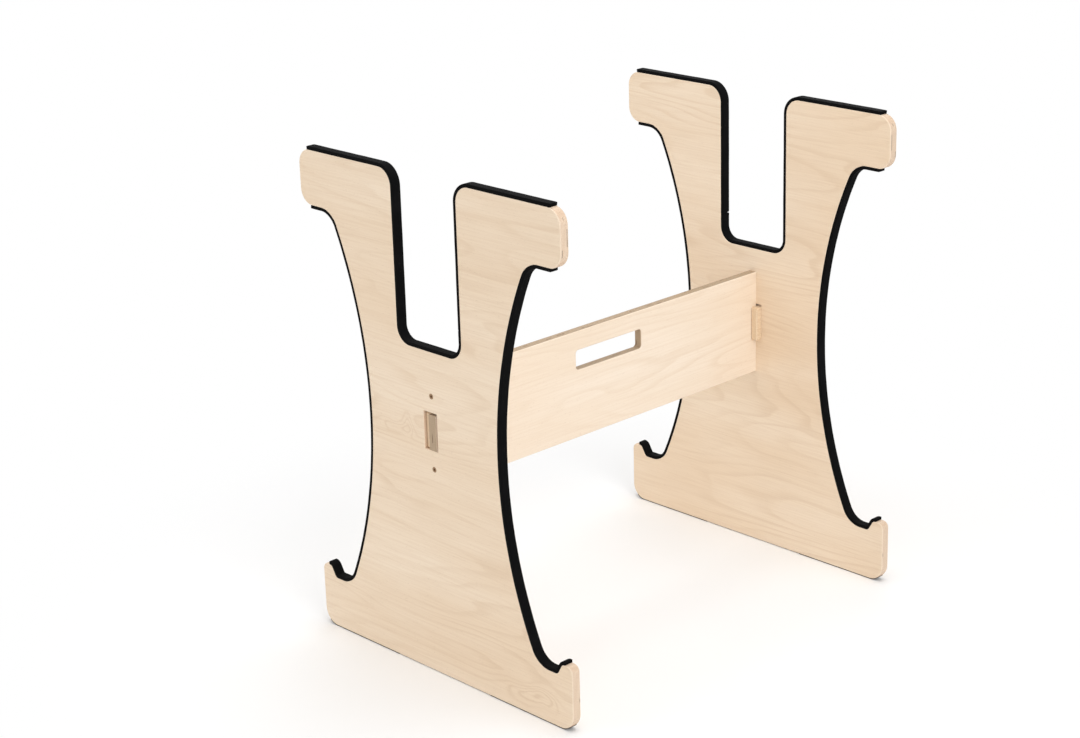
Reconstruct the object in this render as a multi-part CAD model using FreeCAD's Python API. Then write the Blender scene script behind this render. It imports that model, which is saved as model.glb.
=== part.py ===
import FreeCAD, Part
import math
import os

# Free-standing rack: two plywood end panels on one stretcher, with foam along the edges that touch a board.
# Millimetres. X runs across the rack, Y along the stretcher, Z up from the floor.
# The origin is on the floor, in the middle of the footprint.

# Overall
panel_gap = 802.0          # clear length between the inner faces of the two end panels
panel_sheet = 18.0         # plywood of the end panels
edge_ease = 2.0            # sanded rounding along the outline of an end panel

# End panel outline, heights from its bottom edge
panel_height = 896.0
lobe_reach = 321.0         # from the middle of the panel to the end of a lobe
lobe_depth = 99.0          # height of a lobe's end
lobe_radius = 28.0
slot_width = 160.0
slot_depth = 300.5
slot_radius = 30.0         # lower corners of the slot
mouth_radius = 30.0        # upper corners of the slot
lobe_flat = 24.5           # straight underside of a lobe, from its corner to the hollow side
waist_width = 319.0        # narrowest width between the two hollow sides
side_fillet = 43.0         # where the hollow side turns into the lobe and into the foot
foot_reach = 323.0
foot_shelf = 97.5          # height of the flat top of a foot
shelf_flat = 14.1          # straight top of a foot, from the hollow side to the step
lip_rise = 21.0            # the lip above the shelf, at the end of a foot
lip_length = 19.0          # from the end of the foot to the inner edge of the lip's top
lip_radius = 12.0
heel_radius = 30.0         # lower outer corner of a foot
step_radius = 8.0          # both bends of the step from shelf to lip
step_angle = 60.0

# Foam lining and foot pads
foam_thickness = 6.0
foam_margin = 0.2          # from a face of the panel to the foam's side
crown_wrap = 9.5           # angle that the lining turns round a lobe's upper corner
under_wrap = 5.0           # angle that it turns round the lower corner
lip_lining = 2.0           # straight end of the lining on the lip's top, past the step
seam_height = 53.0         # butt joint of the two crown strips, above the slot's floor
seam_gap = 0.4
pad_thickness = 1.0
pad_margin = 0.5
pad_start = 120.0          # from the middle of the panel to a pad's inner end
pad_wrap = 40.0            # angle that a pad turns round the heel

# Stretcher
stretcher_sheet = 18.0
stretcher_drop = 45.3      # from the slot's floor down to the stretcher's top edge
stretcher_depth = 200.0
stretcher_ease = 2.0
handle_length = 167.0
handle_height = 36.0
handle_drop = 36.5         # from the stretcher's top edge to the top of the hand hold
handle_corner = 6.0
handle_ease = 3.0

# Through tenon, its mortise and its wedge
tenon_height = 64.0
joint_fit = 0.15
mortise_headroom = 4.8     # gap above the tenon
mortise_sideroom = 3.2     # gap at the tenon's side, away from the wedge
wedge_gap = 12.0           # room beside the tenon at the panel's outer face
wedge_taper = 1.0 / 12.0
wedge_recess = 5.0         # from the panel's outer face to the wedge's thin end
wedge_head = 14.0          # how far the wedge stands out behind the panel
wedge_chamfer = 1.5

# Screws from the panel into the stretcher's shoulders
screw_inset = 34.0         # from a long edge of the stretcher to a screw
screw_length = 50.0
screw_head = 10.0
head_rim = 2.0             # straight side of the head
head_cone = 1.5            # taper under the head
screw_neck = 7.0
screw_thread = 6.6
screw_tip = 6.0
tip_end = 2.0
screw_fit = 0.1
socket_width = 4.0
socket_depth = 2.8

tiny = 1e-6
up = FreeCAD.Vector(0, 0, 1)
along = FreeCAD.Vector(0, 1, 0)

# Places that follow from the sizes above
outer_face = -(panel_gap / 2 + panel_sheet)   # Y of the front panel's outer face
inner_face = -panel_gap / 2
base = pad_thickness                          # Z of the panels' bottom edge
crown = base + panel_height
lobe_floor = crown - lobe_depth
slot_floor = crown - slot_depth
shelf = base + foot_shelf
lip_top = shelf + lip_rise
slot_half = slot_width / 2
stretcher_high = slot_floor - stretcher_drop
stretcher_low = stretcher_high - stretcher_depth
shoulder = (stretcher_depth - tenon_height) / 2
tenon_low = stretcher_low + shoulder
tenon_half = stretcher_sheet / 2
handle_middle = stretcher_high - handle_drop - handle_height / 2
screw_heights = {"upper": stretcher_high - screw_inset, "lower": stretcher_low + screw_inset}


# Outlines are chains of straights and bends in the XZ plane, walked with the wood on the left

def straight(start, end):
    return ("straight", start, end)


def bend(centre, radius, start_angle, end_angle):
    return ("bend", centre, radius, start_angle, end_angle)


def on_circle(centre, radius, angle):
    turn = math.radians(angle)
    return (centre[0] + radius * math.cos(turn), centre[1] + radius * math.sin(turn))


def points_of(piece):
    if piece[0] == "straight":
        return piece[1], piece[2]
    centre, radius, start_angle, end_angle = piece[1:]
    return on_circle(centre, radius, start_angle), on_circle(centre, radius, end_angle)


def mirrored(chain):
    flipped = []
    for piece in reversed(chain):
        if piece[0] == "straight":
            start, end = piece[1:]
            flipped.append(straight((-end[0], end[1]), (-start[0], start[1])))
        else:
            centre, radius, start_angle, end_angle = piece[1:]
            flipped.append(bend((-centre[0], centre[1]), radius, 180 - end_angle, 180 - start_angle))
    return flipped


def moved_out(chain, distance):
    moved = []
    for piece in chain:
        if piece[0] == "straight":
            start, end = piece[1:]
            length = math.dist(start, end)
            right = ((end[1] - start[1]) / length * distance, (start[0] - end[0]) / length * distance)
            moved.append(straight((start[0] + right[0], start[1] + right[1]),
                                  (end[0] + right[0], end[1] + right[1])))
        else:
            centre, radius, start_angle, end_angle = piece[1:]
            grown = radius + distance if end_angle > start_angle else radius - distance
            moved.append(bend(centre, grown, start_angle, end_angle))
    return moved


def at(spot, y):
    return FreeCAD.Vector(spot[0], y, spot[1])


def edge_of(piece, y):
    start, end = points_of(piece)
    if piece[0] == "straight":
        return Part.makeLine(at(start, y), at(end, y))
    centre, radius, start_angle, end_angle = piece[1:]
    middle = on_circle(centre, radius, (start_angle + end_angle) / 2)
    return Part.Arc(at(start, y), at(middle, y), at(end, y)).toShape()


def plate(chain, y, width):
    wire = Part.Wire([edge_of(piece, y) for piece in chain])
    return Part.Face(wire).extrude(along * width)


def lining(chain, thickness, margin):
    y = outer_face + margin
    outer = moved_out(chain, thickness)
    first, last = points_of(chain[0])[0], points_of(chain[-1])[1]
    outer_first, outer_last = points_of(outer[0])[0], points_of(outer[-1])[1]
    edges = [edge_of(piece, y) for piece in chain]
    edges.append(Part.makeLine(at(last, y), at(outer_last, y)))
    edges += [edge_of(piece, y) for piece in reversed(outer)]
    edges.append(Part.makeLine(at(outer_first, y), at(first, y)))
    wire = Part.Wire(Part.__sortEdges__(edges))
    return Part.Face(wire).extrude(along * (panel_sheet - 2 * margin))


# Right half of an end panel's outline, from the heel to the lower corner of the slot

def heel():
    centre = (foot_reach - heel_radius, base + heel_radius)
    return bend(centre, heel_radius, -90, 0)


def lip_and_step():
    rise = math.radians(step_angle)
    corner = (foot_reach - lip_radius, lip_top - lip_radius)
    inner_top = foot_reach - lip_length
    slope = (lip_rise - 2 * step_radius * (1 - math.cos(rise))) / math.sin(rise)
    run = 2 * step_radius * math.sin(rise) + slope * math.cos(rise)
    upper = bend((inner_top, lip_top - step_radius), step_radius, 90, 90 + step_angle)
    lower = bend((inner_top - run, shelf + step_radius), step_radius, step_angle - 90, -90)
    return [bend(corner, lip_radius, 0, 90),
            straight((corner[0], lip_top), (inner_top, lip_top)),
            upper,
            straight(points_of(upper)[1], points_of(lower)[0]),
            lower]


def side_arc(fillet_x, height):
    # Leaves the waist upright and runs smoothly into a fillet that lies this far above or below the waist
    reach = fillet_x - waist_width / 2
    radius = (reach ** 2 + height ** 2 - side_fillet ** 2) / (2 * (reach - side_fillet))
    turn = math.degrees(math.atan2(height, radius - reach))
    return radius, turn


def hollow_side():
    waist = (shelf + lobe_floor) / 2
    height = waist - shelf - side_fillet
    foot_x = points_of(lip_and_step()[-1])[1][0] - shelf_flat
    lobe_x = lobe_reach - lobe_radius - lobe_flat
    foot_arc, foot_turn = side_arc(foot_x, height)
    lobe_arc, lobe_turn = side_arc(lobe_x, height)
    return [bend((foot_x, shelf + side_fillet), side_fillet, -90, foot_turn - 180),
            bend((waist_width / 2 + foot_arc, waist), foot_arc, 180 + foot_turn, 180),
            bend((waist_width / 2 + lobe_arc, waist), lobe_arc, 180, 180 - lobe_turn),
            bend((lobe_x, lobe_floor - side_fillet), side_fillet, 180 - lobe_turn, 90)]


def lobe_corners():
    centre_x = lobe_reach - lobe_radius
    return (bend((centre_x, lobe_floor + lobe_radius), lobe_radius, -90, 0),
            bend((centre_x, crown - lobe_radius), lobe_radius, 0, 90))


def joined(pieces):
    chain = [pieces[0]]
    for piece in pieces[1:]:
        start = points_of(chain[-1])[1]
        end = points_of(piece)[0]
        if math.dist(start, end) > tiny:
            chain.append(straight(start, end))
        chain.append(piece)
    return chain


mouth = bend((slot_half + mouth_radius, crown - mouth_radius), mouth_radius, 90, 180)
slot_corner = bend((slot_half - slot_radius, slot_floor + slot_radius), slot_radius, 0, -90)
lobe_under, lobe_over = lobe_corners()


def panel_outline():
    half = [heel()] + lip_and_step() + hollow_side() + [lobe_under, lobe_over, mouth, slot_corner]
    return joined(half + mirrored(half) + half[:1])[:-1]


# Stretches of the outline that carry foam or a pad

def lobe_under_end():
    return bend(lobe_under[1], lobe_radius, -90, -90 + under_wrap)


def lobe_over_end():
    return bend(lobe_over[1], lobe_radius, 90 - crown_wrap, 90)


def side_stretch():
    step_and_shelf = lip_and_step()[2:]
    step_top = points_of(step_and_shelf[0])[0]
    lip_end = straight((step_top[0] + lip_lining, step_top[1]), step_top)
    return joined([lip_end] + step_and_shelf + hollow_side() + [lobe_under_end()])


def short_crown_stretch():
    seam = (slot_half, slot_floor + seam_height + seam_gap)
    return joined([lobe_over_end(), mouth]) + [straight(points_of(mouth)[1], seam)]


def long_crown_stretch():
    seam = (slot_half, slot_floor + seam_height)
    wall = straight(seam, points_of(slot_corner)[0])
    return joined([wall, slot_corner] + mirrored([lobe_over_end(), mouth, slot_corner]))


def pad_stretch():
    wrapped = bend(heel()[1], heel_radius, -90, -90 + pad_wrap)
    return [straight((pad_start, base), points_of(wrapped)[0]), wrapped]


# Round pieces along Y

def rod(diameter, start_y, length, z):
    return Part.makeCylinder(diameter / 2, length, FreeCAD.Vector(0, start_y, z), along)


def taper(start_diameter, end_diameter, start_y, length, z):
    return Part.makeCone(start_diameter / 2, end_diameter / 2, length, FreeCAD.Vector(0, start_y, z), along)


def screw_body(z, fit):
    cone_y = outer_face + head_rim
    neck_y = cone_y + head_cone
    tip_y = outer_face + screw_length - screw_tip
    head, neck, thread, end = [size + 2 * fit for size in (screw_head, screw_neck, screw_thread, tip_end)]
    body = rod(head, outer_face, head_rim, z)
    body = body.fuse(taper(head, neck, cone_y, head_cone, z))
    body = body.fuse(rod(neck, neck_y, inner_face - neck_y, z))
    body = body.fuse(rod(thread, inner_face, tip_y - inner_face, z))
    body = body.fuse(taper(thread, end, tip_y, screw_tip, z))
    return body.removeSplitter()


def screw(z):
    corner_radius = socket_width / math.sqrt(3)
    corners = [on_circle((0, z), corner_radius, 60 * step) for step in range(7)]
    hexagon = Part.makePolygon([at(corner, outer_face) for corner in corners])
    socket = Part.Face(hexagon).extrude(along * socket_depth)
    return screw_body(z, 0).cut(socket)


# The slot beside the tenon widens inwards, and the wedge fills it from behind

def wedge_side(depth):
    return -tenon_half - wedge_gap - depth * wedge_taper


def prism(corners, z, height):
    ring = corners + corners[:1]
    wire = Part.makePolygon([FreeCAD.Vector(x, outer_face + depth, z) for x, depth in ring])
    return Part.Face(wire).extrude(up * height)


def mortise():
    right = tenon_half + mortise_sideroom
    corners = [(wedge_side(0), 0), (right, 0), (right, panel_sheet), (wedge_side(panel_sheet), panel_sheet)]
    return prism(corners, tenon_low - joint_fit, tenon_height + joint_fit + mortise_headroom)


def tenon_wedge():
    near = wedge_recess
    far = panel_sheet + wedge_head
    inner = -tenon_half - joint_fit
    corners = [(wedge_side(near) + joint_fit, near), (inner, near),
               (inner, far), (wedge_side(far) + joint_fit, far)]
    block = prism(corners, tenon_low, tenon_height)
    end_edges = [edge for edge in block.Edges if edge.BoundBox.YLength < tiny]
    return block.makeChamfer(wedge_chamfer, end_edges)


def end_panel():
    board = plate(panel_outline(), outer_face, panel_sheet)
    rims = [edge for edge in board.Edges if edge.BoundBox.YLength < tiny]
    board = board.makeFillet(edge_ease, rims)
    board = board.cut(mortise())
    for z in screw_heights.values():
        board = board.cut(screw_body(z, screw_fit))
    return board


def stretcher():
    size = FreeCAD.Vector(stretcher_sheet, panel_gap, stretcher_depth)
    corner = FreeCAD.Vector(-size.x / 2, inner_face, stretcher_low)
    board = Part.makeBox(size.x, size.y, size.z, corner)
    long_edges = [edge for edge in board.Edges if edge.BoundBox.YLength > size.y / 2]
    board = board.makeFillet(stretcher_ease, long_edges)
    board = board.cut(hand_hold(size.x))
    rims = [edge for edge in board.Edges
            if edge.BoundBox.XLength < tiny and abs(edge.CenterOfMass.y) < handle_length / 2 + tiny
            and abs(edge.CenterOfMass.z - handle_middle) < handle_height / 2 + tiny]
    board = board.makeFillet(handle_ease, rims)
    for z in screw_heights.values():
        front = screw_body(z, screw_fit)
        board = board.cut(front).cut(turned(front))
    tongue = Part.makeBox(stretcher_sheet, panel_sheet, tenon_height,
                          FreeCAD.Vector(-tenon_half, outer_face, tenon_low))
    return board.fuse(tongue).fuse(turned(tongue)).removeSplitter()


def hand_hold(depth):
    corner = FreeCAD.Vector(-depth / 2, -handle_length / 2, handle_middle - handle_height / 2)
    hole = Part.makeBox(depth, handle_length, handle_height, corner)
    corner_edges = [edge for edge in hole.Edges if edge.BoundBox.XLength > depth / 2]
    return hole.makeFillet(handle_corner, corner_edges)


def turned(shape):
    copy = shape.copy()
    copy.rotate(FreeCAD.Vector(0, 0, 0), up, 180)
    return copy


def end_pieces():
    pieces = {"panel": end_panel(), "tenon_wedge": tenon_wedge()}
    foam_stretches = {"long_crown_foam": long_crown_stretch(), "short_crown_foam": short_crown_stretch(),
                      "right_side_foam": side_stretch(), "left_side_foam": mirrored(side_stretch())}
    for name, stretch in foam_stretches.items():
        pieces[name] = lining(stretch, foam_thickness, foam_margin)
    pad_stretches = {"right_foot_pad": pad_stretch(), "left_foot_pad": mirrored(pad_stretch())}
    for name, stretch in pad_stretches.items():
        pieces[name] = lining(stretch, pad_thickness, pad_margin)
    for name, z in screw_heights.items():
        pieces[name + "_screw"] = screw(z)
    return pieces


# Both ends are the same set of pieces, the rear one turned half round, so its left and right change places
os.makedirs("parts", exist_ok=True)
other_side = {"left": "right", "right": "left"}
shapes = {"stretcher": stretcher()}
for name, shape in end_pieces().items():
    shapes["front_" + name] = shape
    turned_words = [other_side.get(word, word) for word in name.split("_")]
    shapes["rear_" + "_".join(turned_words)] = turned(shape)

for name, shape in shapes.items():
    shape.exportStep("parts/" + name + ".step")
    print(name, len(shape.Solids), "solid", round(shape.Volume / 1000, 1), "cm3", shape.isValid())
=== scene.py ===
import math

import bpy
import numpy as np
from mathutils import Matrix, Vector


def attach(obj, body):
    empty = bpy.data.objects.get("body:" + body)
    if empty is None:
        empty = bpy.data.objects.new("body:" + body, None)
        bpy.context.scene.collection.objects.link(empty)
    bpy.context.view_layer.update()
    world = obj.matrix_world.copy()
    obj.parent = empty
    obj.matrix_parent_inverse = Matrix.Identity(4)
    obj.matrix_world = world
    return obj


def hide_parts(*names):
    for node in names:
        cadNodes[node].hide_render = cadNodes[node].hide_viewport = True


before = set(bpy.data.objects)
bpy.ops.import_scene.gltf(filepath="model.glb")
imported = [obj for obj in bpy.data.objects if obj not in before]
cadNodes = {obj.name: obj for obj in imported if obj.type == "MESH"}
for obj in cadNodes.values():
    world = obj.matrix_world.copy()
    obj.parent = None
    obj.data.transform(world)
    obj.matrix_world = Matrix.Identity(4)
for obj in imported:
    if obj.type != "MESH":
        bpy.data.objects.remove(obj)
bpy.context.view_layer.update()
scene = bpy.context.scene
scene.view_settings.view_transform = "Standard"
mm = 0.001
print("frame:", len(cadNodes), "CAD nodes")


# Camera at the photo's angle
photoView = {"aim": (0.0006, -0.1655, 0.5006), "azimuth": 46.442, "elevation": 18.998, "roll": -1.660,
             "distance": 4.0491, "lens": 76.997, "sensor": 36.0}


def placeCamera(view):
    azimuth, elevation, roll = (math.radians(view[key]) for key in ("azimuth", "elevation", "roll"))
    level = Vector((math.cos(azimuth), math.sin(azimuth), 0.0))
    back = Vector((math.sin(azimuth) * math.cos(elevation), -math.cos(azimuth) * math.cos(elevation),
                   math.sin(elevation)))
    right = level * math.cos(roll) + back.cross(level) * math.sin(roll)
    lens = bpy.data.cameras.new("photoCamera")
    lens.lens = view["lens"]
    lens.sensor_width = view["sensor"]
    camera = bpy.data.objects.new("photoCamera", lens)
    scene.collection.objects.link(camera)
    turn = Matrix((right, back.cross(right), back)).transposed().to_4x4()
    camera.matrix_world = Matrix.Translation(Vector(view["aim"]) + back * view["distance"]) @ turn
    scene.camera = camera


placeCamera(photoView)
print("camera placed")


# Shader nodes
def srgb(red, green, blue):
    # screen value 0 to 255 to the linear colour that a shader socket takes
    level = np.array((red, green, blue)) / 255.0
    linear = np.where(level <= 0.04045, level / 12.92, ((level + 0.055) / 1.055) ** 2.4)
    return (*linear.tolist(), 1.0)


class NodeBench:
    # one material's nodes; a value given to a node may be a number, a colour or another node's output

    def __init__(self, name):
        self.material = bpy.data.materials.new(name)
        self.material.use_nodes = True
        self.tree = self.material.node_tree
        self.shader = self.tree.nodes["Principled BSDF"]
        places = self.node("ShaderNodeTexCoord").outputs
        self.place, self.normal = places["Object"], places["Normal"]

    def feed(self, socket, value):
        if isinstance(value, bpy.types.NodeSocket):
            self.tree.links.new(value, socket)
        else:
            socket.default_value = value

    def node(self, kind, inputs=None, **settings):
        made = self.tree.nodes.new(kind)
        for key, value in settings.items():
            setattr(made, key, value)
        for key, value in (inputs or {}).items():
            self.feed(made.inputs[key], value)
        return made

    def maths(self, operation, *values):
        return self.node("ShaderNodeMath", dict(enumerate(values)), operation=operation).outputs[0]

    def vectorMaths(self, operation, *values):
        return self.node("ShaderNodeVectorMath", dict(enumerate(values)), operation=operation).outputs

    def split(self, vector):
        return self.node("ShaderNodeSeparateXYZ", {0: vector}).outputs

    def stretched(self, parts, scales):
        # each part times its own scale, as one vector; a missing third part is 0
        scaled = [self.maths("MULTIPLY", part, scale) for part, scale in zip(parts, scales)]
        return self.node("ShaderNodeCombineXYZ", dict(enumerate(scaled))).outputs[0]

    def distance(self, across, rise):
        # square root of the sum of two squares
        squares = self.maths("MULTIPLY_ADD", across, across, self.maths("MULTIPLY", rise, rise))
        return self.maths("SQRT", squares)

    def ease(self, value, low, high, start=0.0, end=1.0):
        # smooth step from start to end while the value goes from low to high
        made = self.node("ShaderNodeMapRange", {"Value": value, "From Min": low, "From Max": high,
                                                "To Min": start, "To Max": end},
                         interpolation_type="SMOOTHSTEP")
        return made.outputs["Result"]

    def blend(self, amount, first, second):
        return self.node("ShaderNodeMix", {0: amount, 2: first, 3: second}, data_type="FLOAT").outputs[0]

    def tint(self, amount, first, second):
        return self.node("ShaderNodeMix", {0: amount, 6: first, 7: second}, data_type="RGBA").outputs[2]

    def noise(self, vector, seed=0.0, scale=1.0, detail=2.0, roughness=0.5, distortion=0.0):
        made = self.node("ShaderNodeTexNoise", {"Vector": vector, "W": seed, "Scale": scale,
                                                "Detail": detail, "Roughness": roughness,
                                                "Distortion": distortion}, noise_dimensions="4D")
        return made.outputs[0]

    def cells(self, vector, scale):
        return self.node("ShaderNodeTexVoronoi", {"Vector": vector, "Scale": scale}).outputs["Distance"]

    def bent(self, scale, push):
        # object place pushed about by a soft noise
        drift = self.node("ShaderNodeTexNoise", {"Vector": self.place, "Scale": scale, "Detail": 1.0})
        centred = self.vectorMaths("SUBTRACT", drift.outputs["Color"], (0.5, 0.5, 0.5))["Vector"]
        return self.vectorMaths("MULTIPLY_ADD", centred, push, self.place)["Vector"]

    def swirl(self, spot, centre, reach):
        # soft bump that falls off as e to the minus squared distance, with its own reach on each axis
        away = self.vectorMaths("SUBTRACT", spot, centre)["Vector"]
        away = self.vectorMaths("DIVIDE", away, reach)["Vector"]
        square = self.vectorMaths("DOT_PRODUCT", away, away)["Value"]
        return self.maths("EXPONENT", self.maths("MULTIPLY", square, -1.0))

    def bump(self, height, strength, distance):
        made = self.node("ShaderNodeBump", {"Height": height, "Strength": strength, "Distance": distance})
        self.feed(self.shader.inputs["Normal"], made.outputs[0])

    def finish(self, **sockets):
        for key, value in sockets.items():
            self.feed(self.shader.inputs[key.replace("_", " ")], value)
        return self.material


# Birch plywood: the plies are worked out through the thickness, so faces, rounded edges and cuts show them
panelSheet = {
    # axes of the sheet's thickness and face grain, place of its first face, and the share of a ply by which
    # the count of plies stays clear of both faces
    "lay": "Y", "grain": "X", "faceAt": 401 * mm, "sheet": 18 * mm, "plies": 13, "skin": 0.001,
    "seed": 3.0, "plySeed": 1.73, "sideSeed": 6.1, "fadeSeed": 31.0, "broadSeed": 57.0, "gapSeed": 3.3,
    # colours; the pale arris colour is partly wood paler from sanding and partly a painted highlight
    "veneerPale": srgb(241, 222, 198), "veneerWarm": srgb(232, 208, 179), "veneerLine": srgb(210, 180, 148),
    "fleck": srgb(176, 142, 112), "sanded": srgb(248, 234, 216), "longEdge": srgb(240, 220, 197),
    "endEdge": srgb(214, 185, 157), "glue": srgb(150, 115, 88), "gap": srgb(98, 70, 50),
    # stretch of each pattern along and across the grain, per metre, and through the sheet, per ply
    "swellStretch": (1.0, 6.2), "broadStretch": (2.2, 9.0), "fibreStretch": (9.0, 380.0, 0.8),
    "poreStretch": (160.0, 1500.0, 1.0), "edgeStretch": (40.0, 700.0, 2.6), "gapStretch": (26.0, 26.0),
    # growth rings: how many in the swell, rise and drop of each dark line, where the lines fade
    "rings": 27.0, "ringRise": (0.52, 0.9), "ringDrop": (1.0, 0.92), "ringFade": (0.38, 0.64),
    "fadeScale": 2.3, "faintRing": 0.2,
    # flame figures in the front veneer, mm: x, y and z of each middle, reach along and across the grain
    "flames": ((-98, -419, 441, 40, 9), (-66, -419, 453, 15, 19),
               (206, -419, 36, 62, 15), (252, -419, 46, 34, 15)),
    "flameDepth": 3 * mm, "flameRings": 0.1, "flameScale": 24.0, "flamePush": (20 * mm, 0.0, 13 * mm),
    "flameWiden": 1.6, "flamePower": 2.5,
    # which noise levels take a tint, and how strong each tint is
    "broadRange": (0.3, 0.72), "warmRange": (0.2, 0.92), "fibreRange": (0.35, 0.75),
    "poreRange": (0.66, 0.74), "broadTint": 0.75, "warmTint": 0.1, "lineTint": 0.28, "flameTint": 0.12,
    "fibreTint": 0.26, "poreTint": 0.36, "glueTint": 0.72, "gapTint": 0.8, "sandedTint": 0.26,
    # cut edges: how far the surface has turned, end grain, and glue lines and gaps in shares of a ply
    "edgeTurn": (0.8, 0.3), "arrisTurns": ((0.2, 0.5), (0.995, 0.9)), "endTurn": (0.25, 0.85),
    "endRange": (0.3, 0.62), "endLeast": 0.7, "glueWidth": (0.14, 0.04), "glueFrom": (0.4, 0.7),
    "gapRange": (0.66, 0.69), "gapFrom": (1.0, 1.4),
    # relief and gloss
    "fibreRise": 0.5, "poreRise": -0.6, "edgeRise": 0.9, "glueRise": -0.4, "gapRise": -1.5,
    "bump": (0.35, 0.12 * mm), "roughRange": (0.3, 0.7), "faceRough": (0.4, 0.52), "edgeRough": 0.62,
    "gloss": 0.38}
# the stretcher's copy of the plywood: its cut edges and glue lines are darker than the panel's, which is
# painted shade on the same sheet material
stretcherShadedSheet = dict(panelSheet, lay="X", grain="Y", faceAt=-9 * mm, seed=41.0, flames=(),
                      veneerPale=srgb(245, 230, 212), veneerWarm=srgb(240, 221, 198),
                      veneerLine=srgb(224, 199, 171), longEdge=srgb(194, 171, 143),
                      endEdge=srgb(163, 139, 112), glue=srgb(102, 80, 60))


def flameFigures(bench, look):
    # sum of the figures' soft bumps, at a place that a slow noise bends
    bentPlace = bench.bent(look["flameScale"], look["flamePush"])
    total = 0.0
    for x, y, z, along, across in look["flames"]:
        middle = (x * mm, y * mm, z * mm)
        reach = (along * mm, look["flameDepth"], across * mm)
        total = bench.maths("ADD", total, bench.swirl(bentPlace, middle, reach))
    return total


def plywoodMaterial(name, look):
    bench = NodeBench(name)
    maths, ease, tint = bench.maths, bench.ease, bench.tint
    spot, normal = bench.split(bench.place), bench.split(bench.normal)
    lay, grain, cross = ("XYZ".index(axis) for axis in (look["lay"], look["grain"], "Z"))
    layer, side = spot[lay], 0.0
    if look["lay"] == "Y":
        # one material for both panels, its plies counted outwards from their inner faces
        layer, side = maths("ABSOLUTE", layer), maths("SIGN", layer)
    depth = maths("DIVIDE", maths("SUBTRACT", layer, look["faceAt"]), look["sheet"] / look["plies"])
    depth = maths("MINIMUM", maths("MAXIMUM", depth, look["skin"]), look["plies"] - look["skin"])
    ply, within = maths("FLOOR", depth), maths("FRACT", depth)
    crossPly = maths("MODULO", ply, 2.0)
    seed = maths("ADD", maths("MULTIPLY", ply, look["plySeed"]),
                 maths("MULTIPLY_ADD", side, look["sideSeed"], look["seed"]))
    along = bench.blend(crossPly, spot[grain], spot[cross])
    across = bench.blend(crossPly, spot[cross], spot[grain])

    # growth rings cut by the veneer knife: contour lines of a long soft swell that the flame figures raise
    swellPlace = bench.stretched((along, across), look["swellStretch"])
    swell = bench.noise(swellPlace, seed, detail=3.0, roughness=0.36, distortion=0.25)
    flame = flameFigures(bench, look) if look["flames"] else 0.0
    ringCount = maths("MULTIPLY", maths("MULTIPLY_ADD", flame, look["flameRings"], swell), look["rings"])
    ring = maths("FRACT", ringCount)
    ringLine = maths("MULTIPLY", ease(ring, *look["ringRise"]), ease(ring, *look["ringDrop"]))
    fading = bench.noise(swellPlace, maths("ADD", seed, look["fadeSeed"]), look["fadeScale"], detail=1.0)
    ringLine = maths("MULTIPLY", ringLine, ease(fading, *look["ringFade"], look["faintRing"], 1.0))
    if look["flames"]:
        # soft cosine bands in place of the thin lines
        band = maths("MULTIPLY_ADD", maths("COSINE", maths("MULTIPLY", ringCount, math.tau)), 0.5, 0.5)
        inFlame = maths("MINIMUM", maths("MULTIPLY", flame, look["flameWiden"]), 1.0)
        ringLine = bench.blend(inFlame, ringLine, maths("POWER", band, look["flamePower"]))

    # fibres, broad tone and short pores along the grain
    fibrePlace = bench.stretched((along, across, depth), look["fibreStretch"])
    fibre = bench.noise(fibrePlace, seed, detail=3.0, roughness=0.6)
    broadPlace = bench.stretched((along, across), look["broadStretch"])
    broad = bench.noise(broadPlace, maths("ADD", seed, look["broadSeed"]))
    porePlace = bench.stretched((along, across, depth), look["poreStretch"])
    pore = ease(bench.noise(porePlace, seed, detail=1.0), *look["poreRange"])
    veneer = tint(ease(broad, *look["broadRange"], 0.0, look["broadTint"]), look["veneerPale"],
                  look["veneerWarm"])
    veneer = tint(ease(ring, *look["warmRange"], 0.0, look["warmTint"]), veneer, look["veneerWarm"])
    lineTint = maths("MULTIPLY_ADD", flame, look["flameTint"], look["lineTint"])
    veneer = tint(maths("MULTIPLY", ringLine, lineTint), veneer, look["veneerLine"])
    veneer = tint(ease(fibre, *look["fibreRange"], 0.0, look["fibreTint"]), veneer, look["veneerLine"])
    veneer = tint(maths("MULTIPLY", pore, look["poreTint"]), veneer, look["fleck"])

    # cut edges: end grain where a ply's grain meets the surface, long grain between
    facing = [maths("ABSOLUTE", part) for part in normal]
    onEdge = ease(facing[lay], *look["edgeTurn"])
    endGrain = ease(bench.blend(crossPly, facing[grain], facing[cross]), *look["endTurn"])
    edgePlace = bench.stretched((along, across, depth), look["edgeStretch"])
    edgeGrain = bench.noise(edgePlace, seed, detail=3.0, roughness=0.65)
    endTint = maths("MULTIPLY", endGrain, ease(edgeGrain, *look["endRange"], look["endLeast"], 1.0))
    edge = tint(endTint, look["longEdge"], look["endEdge"])

    # glue lines between the plies, and small gaps in the inner ones
    nearGlue = maths("MINIMUM", within, maths("SUBTRACT", 1.0, within))
    inside = maths("MINIMUM", depth, maths("SUBTRACT", float(look["plies"]), depth))
    glueLine = maths("MULTIPLY", ease(nearGlue, *look["glueWidth"]), ease(inside, *look["glueFrom"]))
    edge = tint(maths("MULTIPLY", glueLine, look["glueTint"]), edge, look["glue"])
    gapPlace = bench.stretched((spot[grain], spot[cross]), look["gapStretch"])
    gapNoise = bench.noise(gapPlace, maths("MULTIPLY", ply, look["gapSeed"]), detail=1.0)
    plyGap = maths("MULTIPLY", ease(gapNoise, *look["gapRange"]), ease(inside, *look["gapFrom"]))
    edge = tint(maths("MULTIPLY", plyGap, look["gapTint"]), edge, look["gap"])
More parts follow.
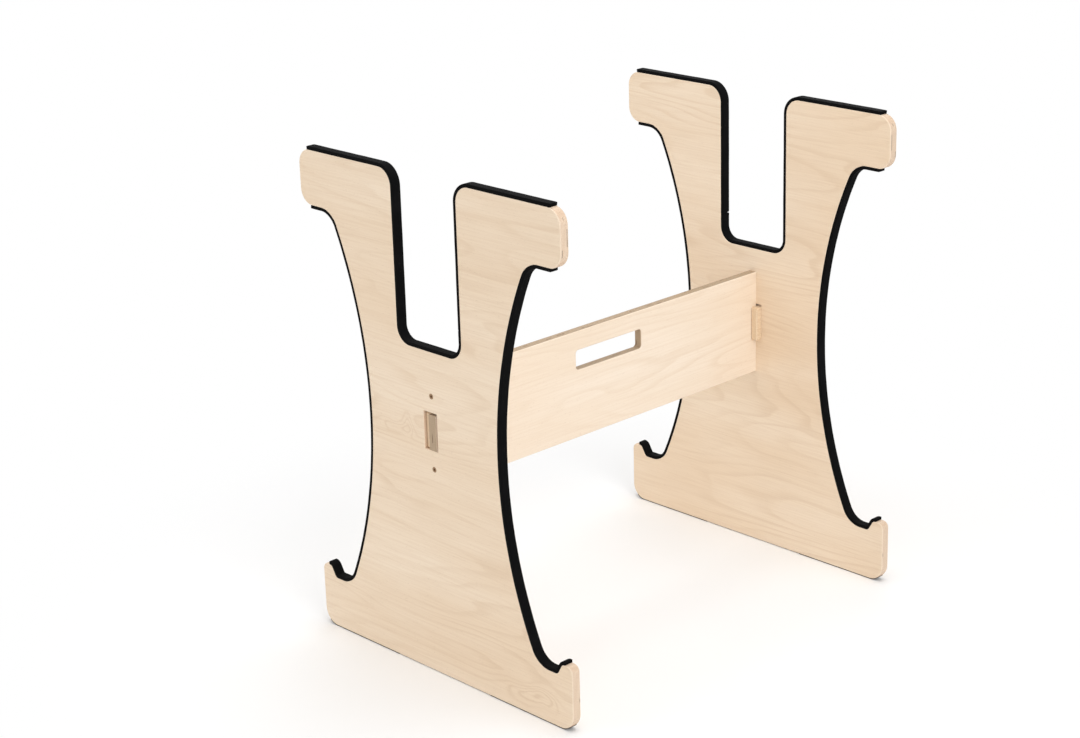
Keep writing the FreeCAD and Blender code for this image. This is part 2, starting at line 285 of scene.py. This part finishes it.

    # faces and edges together, paler on the rounded arris: wood paler from sanding, with a painted highlight
    # on every arris
    arris = maths("MULTIPLY", *[ease(facing[lay], *turn) for turn in look["arrisTurns"]])
    colour = tint(onEdge, veneer, edge)
    colour = tint(maths("MULTIPLY", arris, look["sandedTint"]), colour, look["sanded"])
    relief = maths("MULTIPLY_ADD", pore, look["poreRise"], maths("MULTIPLY", fibre, look["fibreRise"]))
    edgeRelief = maths("MULTIPLY_ADD", glueLine, look["glueRise"],
                       maths("MULTIPLY", edgeGrain, look["edgeRise"]))
    edgeRelief = maths("MULTIPLY_ADD", plyGap, look["gapRise"], edgeRelief)
    bench.bump(bench.blend(onEdge, relief, edgeRelief), *look["bump"])
    rough = bench.blend(onEdge, ease(fibre, *look["roughRange"], *look["faceRough"]), look["edgeRough"])
    return bench.finish(Base_Color=colour, Roughness=rough, Specular_IOR_Level=look["gloss"])


panelPly = plywoodMaterial("panelPly", panelSheet)
# stretcher plywood, with painted shade on its cut edges
stretcherShadedPly = plywoodMaterial("stretcherShadedPly", stretcherShadedSheet)


# Solid birch of the wedges
wedgeWood = {"pale": srgb(238, 217, 188), "dark": srgb(222, 195, 162), "line": srgb(190, 156, 120),
             "pith": (55 * mm, 400 * mm), "rings": 480.0, "ringRise": (0.3, 0.92), "ringDrop": (1.0, 0.92),
             "lineTint": 0.26, "wander": 1.3 * mm, "wanderStretch": (60.0, 9.0, 60.0), "wanderSeed": 5.0,
             "fibreStretch": (900.0, 40.0, 900.0), "fibreSeed": 2.0, "fibreRange": (0.3, 0.7),
             "rough": (0.5, 0.62), "gloss": 0.35, "bump": (0.3, 0.1 * mm)}


def wedgeMaterial(name, look):
    # growth rings: distance from a pith line along y, beside the wedge, with a slow wander
    bench = NodeBench(name)
    x, y, z = bench.split(bench.place)
    pithX, pithZ = look["pith"]
    fromPith = bench.distance(bench.maths("SUBTRACT", x, pithX), bench.maths("SUBTRACT", z, pithZ))
    wander = bench.noise(bench.stretched((x, y, z), look["wanderStretch"]), look["wanderSeed"])
    radius = bench.maths("MULTIPLY_ADD", wander, look["wander"], fromPith)
    ring = bench.maths("FRACT", bench.maths("MULTIPLY", radius, look["rings"]))
    line = bench.maths("MULTIPLY", bench.ease(ring, *look["ringRise"]), bench.ease(ring, *look["ringDrop"]))
    fibre = bench.noise(bench.stretched((x, y, z), look["fibreStretch"]), look["fibreSeed"], roughness=0.6)
    colour = bench.tint(bench.ease(fibre, *look["fibreRange"]), look["pale"], look["dark"])
    colour = bench.tint(bench.maths("MULTIPLY", line, look["lineTint"]), colour, look["line"])
    bench.bump(fibre, *look["bump"])
    rough = bench.ease(fibre, *look["fibreRange"], *look["rough"])
    return bench.finish(Base_Color=colour, Roughness=rough, Specular_IOR_Level=look["gloss"])


wedgeBirch = wedgeMaterial("wedgeBirch", wedgeWood)


# Bronzed screws, with brighter metal showing on the rim of the head
screwSteel = {"bronze": srgb(158, 128, 98), "worn": srgb(208, 184, 152), "rim": (4.35 * mm, 4.95 * mm),
              "heights": (385.2 * mm, 517.2 * mm), "grit": 900.0, "gritRange": (0.3, 0.7),
              "wornRange": (0.42, 0.7), "wornTint": 0.7, "metal": 0.85, "rough": (0.34, 0.5),
              "bump": (0.25, 0.05 * mm)}


def screwMaterial(name, look):
    # wear by distance from the axis of the nearer screw, which runs along y
    bench = NodeBench(name)
    spot = bench.split(bench.place)
    rises = [bench.maths("ABSOLUTE", bench.maths("SUBTRACT", spot["Z"], height))
             for height in look["heights"]]
    radius = bench.distance(spot["X"], bench.maths("MINIMUM", *rises))
    grit = bench.noise(bench.place, scale=look["grit"], roughness=0.6)
    worn = bench.maths("MULTIPLY", bench.ease(radius, *look["rim"]), bench.ease(grit, *look["wornRange"]))
    colour = bench.tint(bench.maths("MULTIPLY", worn, look["wornTint"]), look["bronze"], look["worn"])
    bench.bump(grit, *look["bump"])
    rough = bench.ease(grit, *look["gritRange"], *look["rough"])
    return bench.finish(Base_Color=colour, Metallic=look["metal"], Roughness=rough)


bronzedSteel = screwMaterial("bronzedSteel", screwSteel)


# Foam and pad rubber
foamLook = {"base": srgb(10, 10, 11), "bloom": srgb(20, 19, 20), "pore": srgb(5, 5, 5),
            "cells": 950.0, "pitRange": (0.42, 0.08), "pitTint": 0.6, "pitRise": -0.8,
            "grainShare": 0.55, "grainRise": 0.8, "cloud": 26.0, "bloomRange": (0.42, 0.75),
            "bloomTint": 0.8, "roughRange": (0.3, 0.7), "rough": (0.78, 0.88), "gloss": 0.05,
            "bump": (0.6, 0.25 * mm)}
padLook = dict(foamLook, base=srgb(84, 75, 66), bloom=srgb(104, 94, 83), pore=srgb(50, 45, 40),
               cells=1600.0, rough=(0.68, 0.78), bump=(0.6, 0.12 * mm))


def foamMaterial(name, look):
    # closed cells: small pits from a cell pattern, a faint bloom in broad patches
    bench = NodeBench(name)
    pit = bench.ease(bench.cells(bench.place, look["cells"]), *look["pitRange"])
    grain = bench.noise(bench.place, scale=look["cells"] * look["grainShare"], detail=3.0, roughness=0.6)
    cloud = bench.noise(bench.place, scale=look["cloud"], detail=3.0, roughness=0.55)
    bloom = bench.ease(cloud, *look["bloomRange"], 0.0, look["bloomTint"])
    colour = bench.tint(bloom, look["base"], look["bloom"])
    colour = bench.tint(bench.maths("MULTIPLY", pit, look["pitTint"]), colour, look["pore"])
    bench.bump(bench.maths("MULTIPLY_ADD", pit, look["pitRise"],
                           bench.maths("MULTIPLY", grain, look["grainRise"])), *look["bump"])
    rough = bench.ease(cloud, *look["roughRange"], *look["rough"])
    return bench.finish(Base_Color=colour, Roughness=rough, Specular_IOR_Level=look["gloss"])


blackFoam = foamMaterial("blackFoam", foamLook)
padRubber = foamMaterial("padRubber", padLook)
print("materials ready")


# CAD nodes that stay, in their finishes
finishes = {"panel": panelPly, "stretcher": stretcherShadedPly, "wedge": wedgeBirch, "screw": bronzedSteel}
for name, shown in cadNodes.items():
    for word, material in finishes.items():
        if name.endswith(word):
            shown.data.materials.clear()
            shown.data.materials.append(material)
print("CAD nodes finished")


# Outline of an end panel in millimetres, as in the CAD model, walked with the wood on the left
panel = {"bottom": 1.0, "crown": 897.0, "lobeReach": 321.0, "lobeDepth": 99.0, "lobeRadius": 28.0,
         "lobeFlat": 24.5, "slotHalf": 80.0, "slotDepth": 300.5, "slotRadius": 30.0, "mouthRadius": 30.0,
         "waistHalf": 159.5, "sideFillet": 43.0, "footReach": 323.0, "shelf": 98.5, "shelfFlat": 14.1,
         "lipRise": 21.0, "lipLength": 19.0, "lipLining": 2.0, "heelRadius": 30.0, "stepRadius": 8.0,
         "stepAngle": 60.0, "middle": 410.0}
# distance between a route's rows on straights, bends and long arcs, and below which two runs are joined
walk = {"straight": 2.5, "bend": 0.9, "longArc": 2.5, "joined": 0.001}


def straightRun(start, end):
    # rows of x, z, outward x, outward z and curvature on a straight line
    start, end = np.array(start, float), np.array(end, float)
    length = np.linalg.norm(end - start)
    share = np.linspace(0.0, 1.0, max(2, math.ceil(length / walk["straight"]) + 1))[:, None]
    ahead = (end - start) / length
    outward = np.broadcast_to((ahead[1], -ahead[0]), (len(share), 2))
    return np.hstack((start + share * (end - start), outward, np.zeros((len(share), 1))))


def bendRun(centre, radius, startAngle, endAngle, step=walk["bend"]):
    # the same rows on an arc; anticlockwise bends bulge outwards, clockwise ones are hollows
    count = max(3, math.ceil(radius * math.radians(abs(endAngle - startAngle)) / step) + 1)
    angle = np.radians(np.linspace(startAngle, endAngle, count))
    ray = np.column_stack((np.cos(angle), np.sin(angle)))
    sense = 1.0 if endAngle > startAngle else -1.0
    return np.hstack((np.array(centre) + radius * ray, sense * ray, np.full((count, 1), sense / radius)))


def chained(runs):
    # runs one after another, with a straight where two don't meet, and no point twice
    rows = [runs[0]]
    for run in runs[1:]:
        last = rows[-1][-1, :2]
        if np.linalg.norm(run[0, :2] - last) > walk["joined"]:
            rows.append(straightRun(last, run[0, :2])[1:])
        rows.append(run[1:])
    return np.vstack(rows)


def mirrored(rows):
    # x turned round, and walked from the other end so that the wood stays on the left
    return rows[::-1] * (-1.0, 1.0, -1.0, 1.0, 1.0)


def lipRuns(p):
    # lined part of the lip's top, then two opposite bends of the step's angle with a slope between them
    rise = math.radians(p["stepAngle"])
    bendRadius, top = p["stepRadius"], p["shelf"] + p["lipRise"]
    inner = p["footReach"] - p["lipLength"]
    slope = (p["lipRise"] - 2 * bendRadius * (1 - math.cos(rise))) / math.sin(rise)
    run = 2 * bendRadius * math.sin(rise) + slope * math.cos(rise)
    return [straightRun((inner + p["lipLining"], top), (inner, top)),
            bendRun((inner, top - bendRadius), bendRadius, 90, 90 + p["stepAngle"]),
            bendRun((inner - run, p["shelf"] + bendRadius), bendRadius, p["stepAngle"] - 90, -90)]


def sideRuns(p, shelfEnd):
    # two long arcs that meet upright at the waist, each touching a fillet that ends on the level edge
    fillet, waistHalf = p["sideFillet"], p["waistHalf"]
    lobeFloor = p["crown"] - p["lobeDepth"]
    waist = (p["shelf"] + lobeFloor) / 2
    height = waist - p["shelf"] - fillet
    ends = {"foot": shelfEnd - p["shelfFlat"], "lobe": p["lobeReach"] - p["lobeRadius"] - p["lobeFlat"]}
    arcs = {}
    for end, filletX in ends.items():
        reach = filletX - waistHalf
        radius = (reach ** 2 + height ** 2 - fillet ** 2) / (2 * (reach - fillet))
        arcs[end] = radius, math.degrees(math.atan2(height, radius - reach))
    (footArc, footTurn), (lobeArc, lobeTurn) = arcs["foot"], arcs["lobe"]
    return [bendRun((ends["foot"], p["shelf"] + fillet), fillet, -90, footTurn - 180),
            bendRun((waistHalf + footArc, waist), footArc, 180 + footTurn, 180, walk["longArc"]),
            bendRun((waistHalf + lobeArc, waist), lobeArc, 180, 180 - lobeTurn, walk["longArc"]),
            bendRun((ends["lobe"], lobeFloor - fillet), fillet, 180 - lobeTurn, 90)]


def stripProfile(strip):
    # two half superellipses across the strip, width to the power n plus height to the power n being one,
    # with softer corners above than below; points crowd towards the corners; the rims settle over the
    # rounded edge of the sheet, the upper ones less, and shallow ribs run along the top: y across, h outward
    # from the middle of the thickness
    halves = []
    for half, way in (("top", 1.0), ("foot", -1.0)):
        power = strip[half + "Power"]
        share = np.linspace(way, -way, strip[half + "Points"])[:-1]
        y = np.sign(share) * (1 - (1 - np.abs(share)) ** strip["crowding"])
        h = way * (1 - np.abs(y) ** power) ** (1 / power)
        halves.append(np.column_stack((y, h)))
    y, h = np.vstack(halves).T
    upper = np.clip(h, 0.0, 1.0)
    settle = np.clip((np.abs(y) - strip["settleFrom"]) / (1 - strip["settleFrom"]), 0.0, 1.0) ** 2
    groove = 0.5 + 0.5 * np.cos(np.pi * strip["ribs"] * (y + 1))
    h = h * strip["thickness"] / 2 - strip["droop"] * settle * (1 - strip["upperStay"] * upper)
    return y * strip["halfWidth"], h - strip["ribDepth"] * groove * upper, upper


def waves(length, seed, pitches):
    # a few sines of unlike pitch with seeded phases, about -1 to 1, as a column
    phases = np.random.default_rng(seed).uniform(0, 2 * np.pi, len(pitches))
    total = sum(np.sin(2 * np.pi * length / pitch + phase) for pitch, phase in zip(pitches, phases))
    return total[:, None] / len(pitches)


def stripGrid(route, strip, seed, flare=0.0):
    # the profile carried along the route: place = route point + outward * height, and y across;
    # end rings shrink by a quarter round, so the cut ends have soft rims; flare slants the last cut
    halfWidth, thickness, rim = strip["halfWidth"], strip["thickness"], strip["endRound"]
    steps = np.linalg.norm(np.diff(route[:, :2], axis=0), axis=1)
    length = np.concatenate(([0.0], np.cumsum(steps)))
    total, clear = length[-1], rim * strip["rimClear"]
    rimRings = rim * (1 - np.cos(np.linspace(0.0, np.pi / 2, strip["rimRings"])))
    inner = length[(length > clear) & (length < total - clear)]
    at = np.concatenate((rimRings, inner, total - rimRings[::-1]))
    rows = np.column_stack([np.interp(at, length, column) for column in route.T])
    rows[:, 2:4] /= np.linalg.norm(rows[:, 2:4], axis=1)[:, None]
    x, z, outX, outZ, curve = (column[:, None] for column in rows.T)
    fromEnd = np.minimum(at, total - at)[:, None]
    inset = rim - np.sqrt(np.clip(rim ** 2 - np.clip(rim - fromEnd, 0.0, rim) ** 2, 0.0, None))

    # waver everywhere, puckers in tight hollows only
    y, h, upper = stripProfile(strip)
    tight, blur = strip["tightBend"], np.ones(strip["blur"]) / strip["blur"]
    hollow = np.convolve(np.clip(-curve[:, 0], 0.0, tight), blur, "same")[:, None] / tight
    swell = strip["waver"] * waves(at, seed, strip["waverPitches"])
    fold = strip["pucker"] * hollow * waves(at, seed + 1, strip["puckerPitches"])
    lean = strip["waver"] * waves(at, seed + 2, strip["leanPitches"])
    across = y * (1 - inset / halfWidth) + lean * strip["leanShare"]
    height = h * (1 - 2 * inset / thickness) + upper * (swell + fold - strip["waver"])
    out = height + thickness / 2 + strip["lift"]
    nearLast = 1 - (total - at)[:, None] / (strip["slantReach"] * thickness)
    slant = flare * np.clip(nearLast, 0.0, 1.0) * (0.5 - 0.5 * y / halfWidth)
    return np.stack((x + outX * out + outZ * slant, across, z + outZ * out - outX * slant), axis=-1)


def ringMesh(name, grid):
    # closed tube: quads between neighbouring rings, a fan to a pole at each end
    rings, around = grid.shape[:2]
    index = np.arange(rings * around).reshape(rings, around)
    after = np.roll(index, -1, axis=1)
    quads = np.stack((index[:-1], index[1:], after[1:], after[:-1]), axis=-1).reshape(-1, 4)
    firstPole, lastPole = rings * around, rings * around + 1
    firstFan = np.column_stack((np.full(around, firstPole), index[0], after[0]))
    lastFan = np.column_stack((np.full(around, lastPole), after[-1], index[-1]))
    points = np.vstack((grid.reshape(-1, 3), grid[0].mean(axis=0), grid[-1].mean(axis=0)))
    mesh = bpy.data.meshes.new(name)
    mesh.from_pydata((points * mm).tolist(), [], quads.tolist() + firstFan.tolist() + lastFan.tolist())
    mesh.polygons.foreach_set("use_smooth", np.ones(len(mesh.polygons), bool))
    mesh.update()
    piece = bpy.data.objects.new(name, mesh)
    scene.collection.objects.link(piece)
    return piece


def atEnd(grid, p, end):
    # the front set stands at minus y; the rear set is the same turned half round about the vertical
    placed = grid - (0.0, p["middle"], 0.0)
    return placed if end == "front" else placed * (-1.0, -1.0, 1.0)


def nodeName(end, word):
    # CAD node of a strip; turning the rear set swaps its left and right
    hand, rest = word.split("_", 1)
    if end == "rear":
        hand = {"left": "right", "right": "left"}.get(hand, hand)
    return "%s_%s_%s" % (end, hand, rest)


# What all strips have in common: pitches in millimetres, shares of the width, thickness and rim
stripMake = {"crowding": 2.2, "settleFrom": 0.8, "upperStay": 0.5, "rimRings": 5, "rimClear": 1.5,
             "tightBend": 0.034, "blur": 9, "waverPitches": (61.0, 143.0, 37.0),
             "puckerPitches": (5.2, 8.84), "leanPitches": (87.0, 211.0), "leanShare": 0.6, "slantReach": 4.0}

# Foam linings of the lobes, slot, hollow sides and feet, in millimetres
foam = dict(stripMake, halfWidth=8.8, thickness=6.0, lift=0.05, topPower=13.0, footPower=15.0,
            topPoints=35, footPoints=21, droop=0.7, endRound=0.5, crownWrap=9.5, underWrap=5.0,
            seamHeight=53.0, seamGap=0.4, seamFlare={"front": 0.2, "rear": 2.4}, waver=0.13, pucker=0.16,
            ribs=0, ribDepth=0.0, fill=0.85, endSeed=100, routeSeed=10)


def foamRoutes(p, f):
    # side: lip, shelf, hollow side and underside of the lobe; short crown: top of a lobe, mouth and wall of
    # the slot down to the butt joint; long crown: on from there over the slot's floor to the other lobe
    lip = lipRuns(p)
    lobeX = p["lobeReach"] - p["lobeRadius"]
    slotFloor = p["crown"] - p["slotDepth"]
    underLobe = bendRun((lobeX, p["crown"] - p["lobeDepth"] + p["lobeRadius"]), p["lobeRadius"], -90,
                        -90 + f["underWrap"])
    overLobe = bendRun((lobeX, p["crown"] - p["lobeRadius"]), p["lobeRadius"], 90 - f["crownWrap"], 90)
    mouthCentre = (p["slotHalf"] + p["mouthRadius"], p["crown"] - p["mouthRadius"])
    mouth = bendRun(mouthCentre, p["mouthRadius"], 90, 180)
    cornerCentre = (p["slotHalf"] - p["slotRadius"], slotFloor + p["slotRadius"])
    corner = bendRun(cornerCentre, p["slotRadius"], 0, -90)
    seam = slotFloor + f["seamHeight"]
    side = chained(lip + sideRuns(p, lip[-1][-1, 0]) + [underLobe])
    shortEnd = (p["slotHalf"], seam + f["seamGap"])
    shortCrown = chained([overLobe, mouth, straightRun(mouth[-1, :2], shortEnd)])
    longCrown = chained([straightRun((p["slotHalf"], seam), corner[0, :2]), corner,
                         mirrored(chained([overLobe, mouth, corner]))])
    return {"right_side_foam": side, "left_side_foam": mirrored(side), "short_crown_foam": shortCrown,
            "long_crown_foam": longCrown}


for endIndex, end in enumerate(("front", "rear")):
    for routeIndex, (word, route) in enumerate(foamRoutes(panel, foam).items()):
        node = nodeName(end, word)
        flare = foam["seamFlare"][end] if word.startswith("short") else 0.0
        seed = foam["endSeed"] * endIndex + foam["routeSeed"] * routeIndex
        grid = atEnd(stripGrid(route, foam, seed, flare), panel, end)
        strip = ringMesh(node.replace("_foam", "_lining"), grid)
        strip.data.materials.append(blackFoam)
        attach(strip, "root")
        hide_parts(node)
print("foam linings made")


# Anti-slip strips under the feet, turned up round the heels, in millimetres
pad = dict(stripMake, halfWidth=8.5, thickness=1.0, lift=0.02, topPower=9.0, footPower=12.0,
           topPoints=81, footPoints=21, droop=0.1, endRound=0.25, start=120.0, heelWrap=40.0, waver=0.0,
           pucker=0.0, ribs=6, ribDepth=0.15, fill=1.0, seed=7)


def padRoute(p, s):
    # straight under the foot, then part of the heel's arc
    heelX = p["footReach"] - p["heelRadius"]
    heel = bendRun((heelX, p["bottom"] + p["heelRadius"]), p["heelRadius"], -90, -90 + s["heelWrap"])
    return chained([straightRun((s["start"], p["bottom"]), (heelX, p["bottom"])), heel])


rightPad = padRoute(panel, pad)
for end in ("front", "rear"):
    for word, route in (("right_foot_pad", rightPad), ("left_foot_pad", mirrored(rightPad))):
        node = nodeName(end, word)
        grid = atEnd(stripGrid(route, pad, pad["seed"]), panel, end)
        strip = ringMesh(node.replace("_pad", "_strip"), grid)
        strip.data.materials.append(padRubber)
        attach(strip, "root")
        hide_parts(node)
print("foot strips made")


# Floor: pale and plain, turning to pure white away from the rack so that no horizon shows
floor = {"radius": 9.0, "rings": 5, "spokes": 64, "drop": 0.3 * mm, "colour": srgb(248, 248, 248),
         "white": (1, 1, 1, 1), "fade": (0.58, 1.15)}


def floorMaterial(name, look):
    # matte paper that turns white with distance where the camera, gloss or glass sees it
    bench = NodeBench(name)
    spot = bench.split(bench.place)
    faded = bench.ease(bench.distance(spot["X"], spot["Y"]), *look["fade"])
    ray = bench.node("ShaderNodeLightPath").outputs
    seen = ray["Is Camera Ray"]
    for kind in ("Is Glossy Ray", "Is Transmission Ray"):
        seen = bench.maths("MAXIMUM", seen, ray[kind])
    matte = bench.node("ShaderNodeBsdfDiffuse", {"Color": look["colour"]})
    white = bench.node("ShaderNodeEmission", {"Color": look["white"], "Strength": 1.0})
    mixed = bench.node("ShaderNodeMixShader", {0: bench.maths("MULTIPLY", faded, seen),
                                               1: matte.outputs[0], 2: white.outputs[0]})
    bench.tree.nodes.remove(bench.shader)
    bench.feed(bench.tree.nodes["Material Output"].inputs["Surface"], mixed.outputs[0])
    return bench.material


def layFloor(look):
    # rings of a disc: radius times cosine and sine, with a fan to its middle
    radius, turn = np.meshgrid(np.linspace(0.0, 1.0, look["rings"] + 1)[1:] * look["radius"],
                               np.linspace(0, 2 * np.pi, look["spokes"], endpoint=False), indexing="ij")
    level = np.full(radius.shape, -look["drop"])
    points = np.stack((radius * np.cos(turn), radius * np.sin(turn), level), -1)
    index = np.arange(radius.size).reshape(radius.shape)
    after = np.roll(index, -1, axis=1)
    quads = np.stack((index[:-1], index[1:], after[1:], after[:-1]), -1).reshape(-1, 4)
    fan = np.column_stack((np.full(look["spokes"], radius.size), index[0], after[0]))
    points = np.vstack((points.reshape(-1, 3), (0.0, 0.0, -look["drop"])))
    mesh = bpy.data.meshes.new("floor")
    mesh.from_pydata(points.tolist(), [], quads.tolist() + fan.tolist())
    mesh.materials.append(floorMaterial("floorPaper", look))
    ground = bpy.data.objects.new("floor", mesh)
    scene.collection.objects.link(ground)


layFloor(floor)
print("floor laid")


# Soft studio light: a white room and four large lamps
lamps = {"overhead": {"place": (0.3, 0.1, 3.2), "aim": (0.0, 0.0, 0.4), "size": 2.6, "power": 42.0},
         "rightFront": {"place": (4.6, -1.6, 2.8), "aim": (0.0, 0.0, 0.45), "size": 3.0, "power": 98.0},
         "leftFront": {"place": (-1.6, -3.2, 1.6), "aim": (0.0, 0.0, 0.45), "size": 2.2, "power": 22.0},
         "behind": {"place": (-1.9, 3.3, 2.1), "aim": (0.0, 0.0, 0.45), "size": 2.4, "power": 26.0}}
room = {"strength": 0.55, "seenStrength": 1.0, "colour": (1, 1, 1, 1)}


def hangLamps(rows):
    for name, lamp in rows.items():
        light = bpy.data.lights.new(name, "AREA")
        light.shape = "SQUARE"
        light.size = lamp["size"]
        light.energy = lamp["power"]
        hung = bpy.data.objects.new(name, light)
        scene.collection.objects.link(hung)
        hung.location = lamp["place"]
        away = Vector(lamp["aim"]) - Vector(lamp["place"])
        hung.rotation_euler = away.to_track_quat("-Z", "Y").to_euler()


def whiteRoom(look):
    # white where the camera, gloss or glass sees it, dimmer as a light
    world = bpy.data.worlds.new("whiteRoom")
    scene.world = world
    world.use_nodes = True
    nodes, links = world.node_tree.nodes, world.node_tree.links
    ray = nodes.new("ShaderNodeLightPath").outputs
    seen = ray["Is Camera Ray"]
    for kind in ("Is Glossy Ray", "Is Transmission Ray"):
        either = nodes.new("ShaderNodeMath")
        either.operation = "MAXIMUM"
        links.new(seen, either.inputs[0])
        links.new(ray[kind], either.inputs[1])
        seen = either.outputs[0]
    strength = nodes.new("ShaderNodeMix")
    links.new(seen, strength.inputs[0])
    strength.inputs[2].default_value = look["strength"]
    strength.inputs[3].default_value = look["seenStrength"]
    nodes["Background"].inputs["Color"].default_value = look["colour"]
    links.new(strength.outputs[0], nodes["Background"].inputs["Strength"])


hangLamps(lamps)
whiteRoom(room)
print("light set")
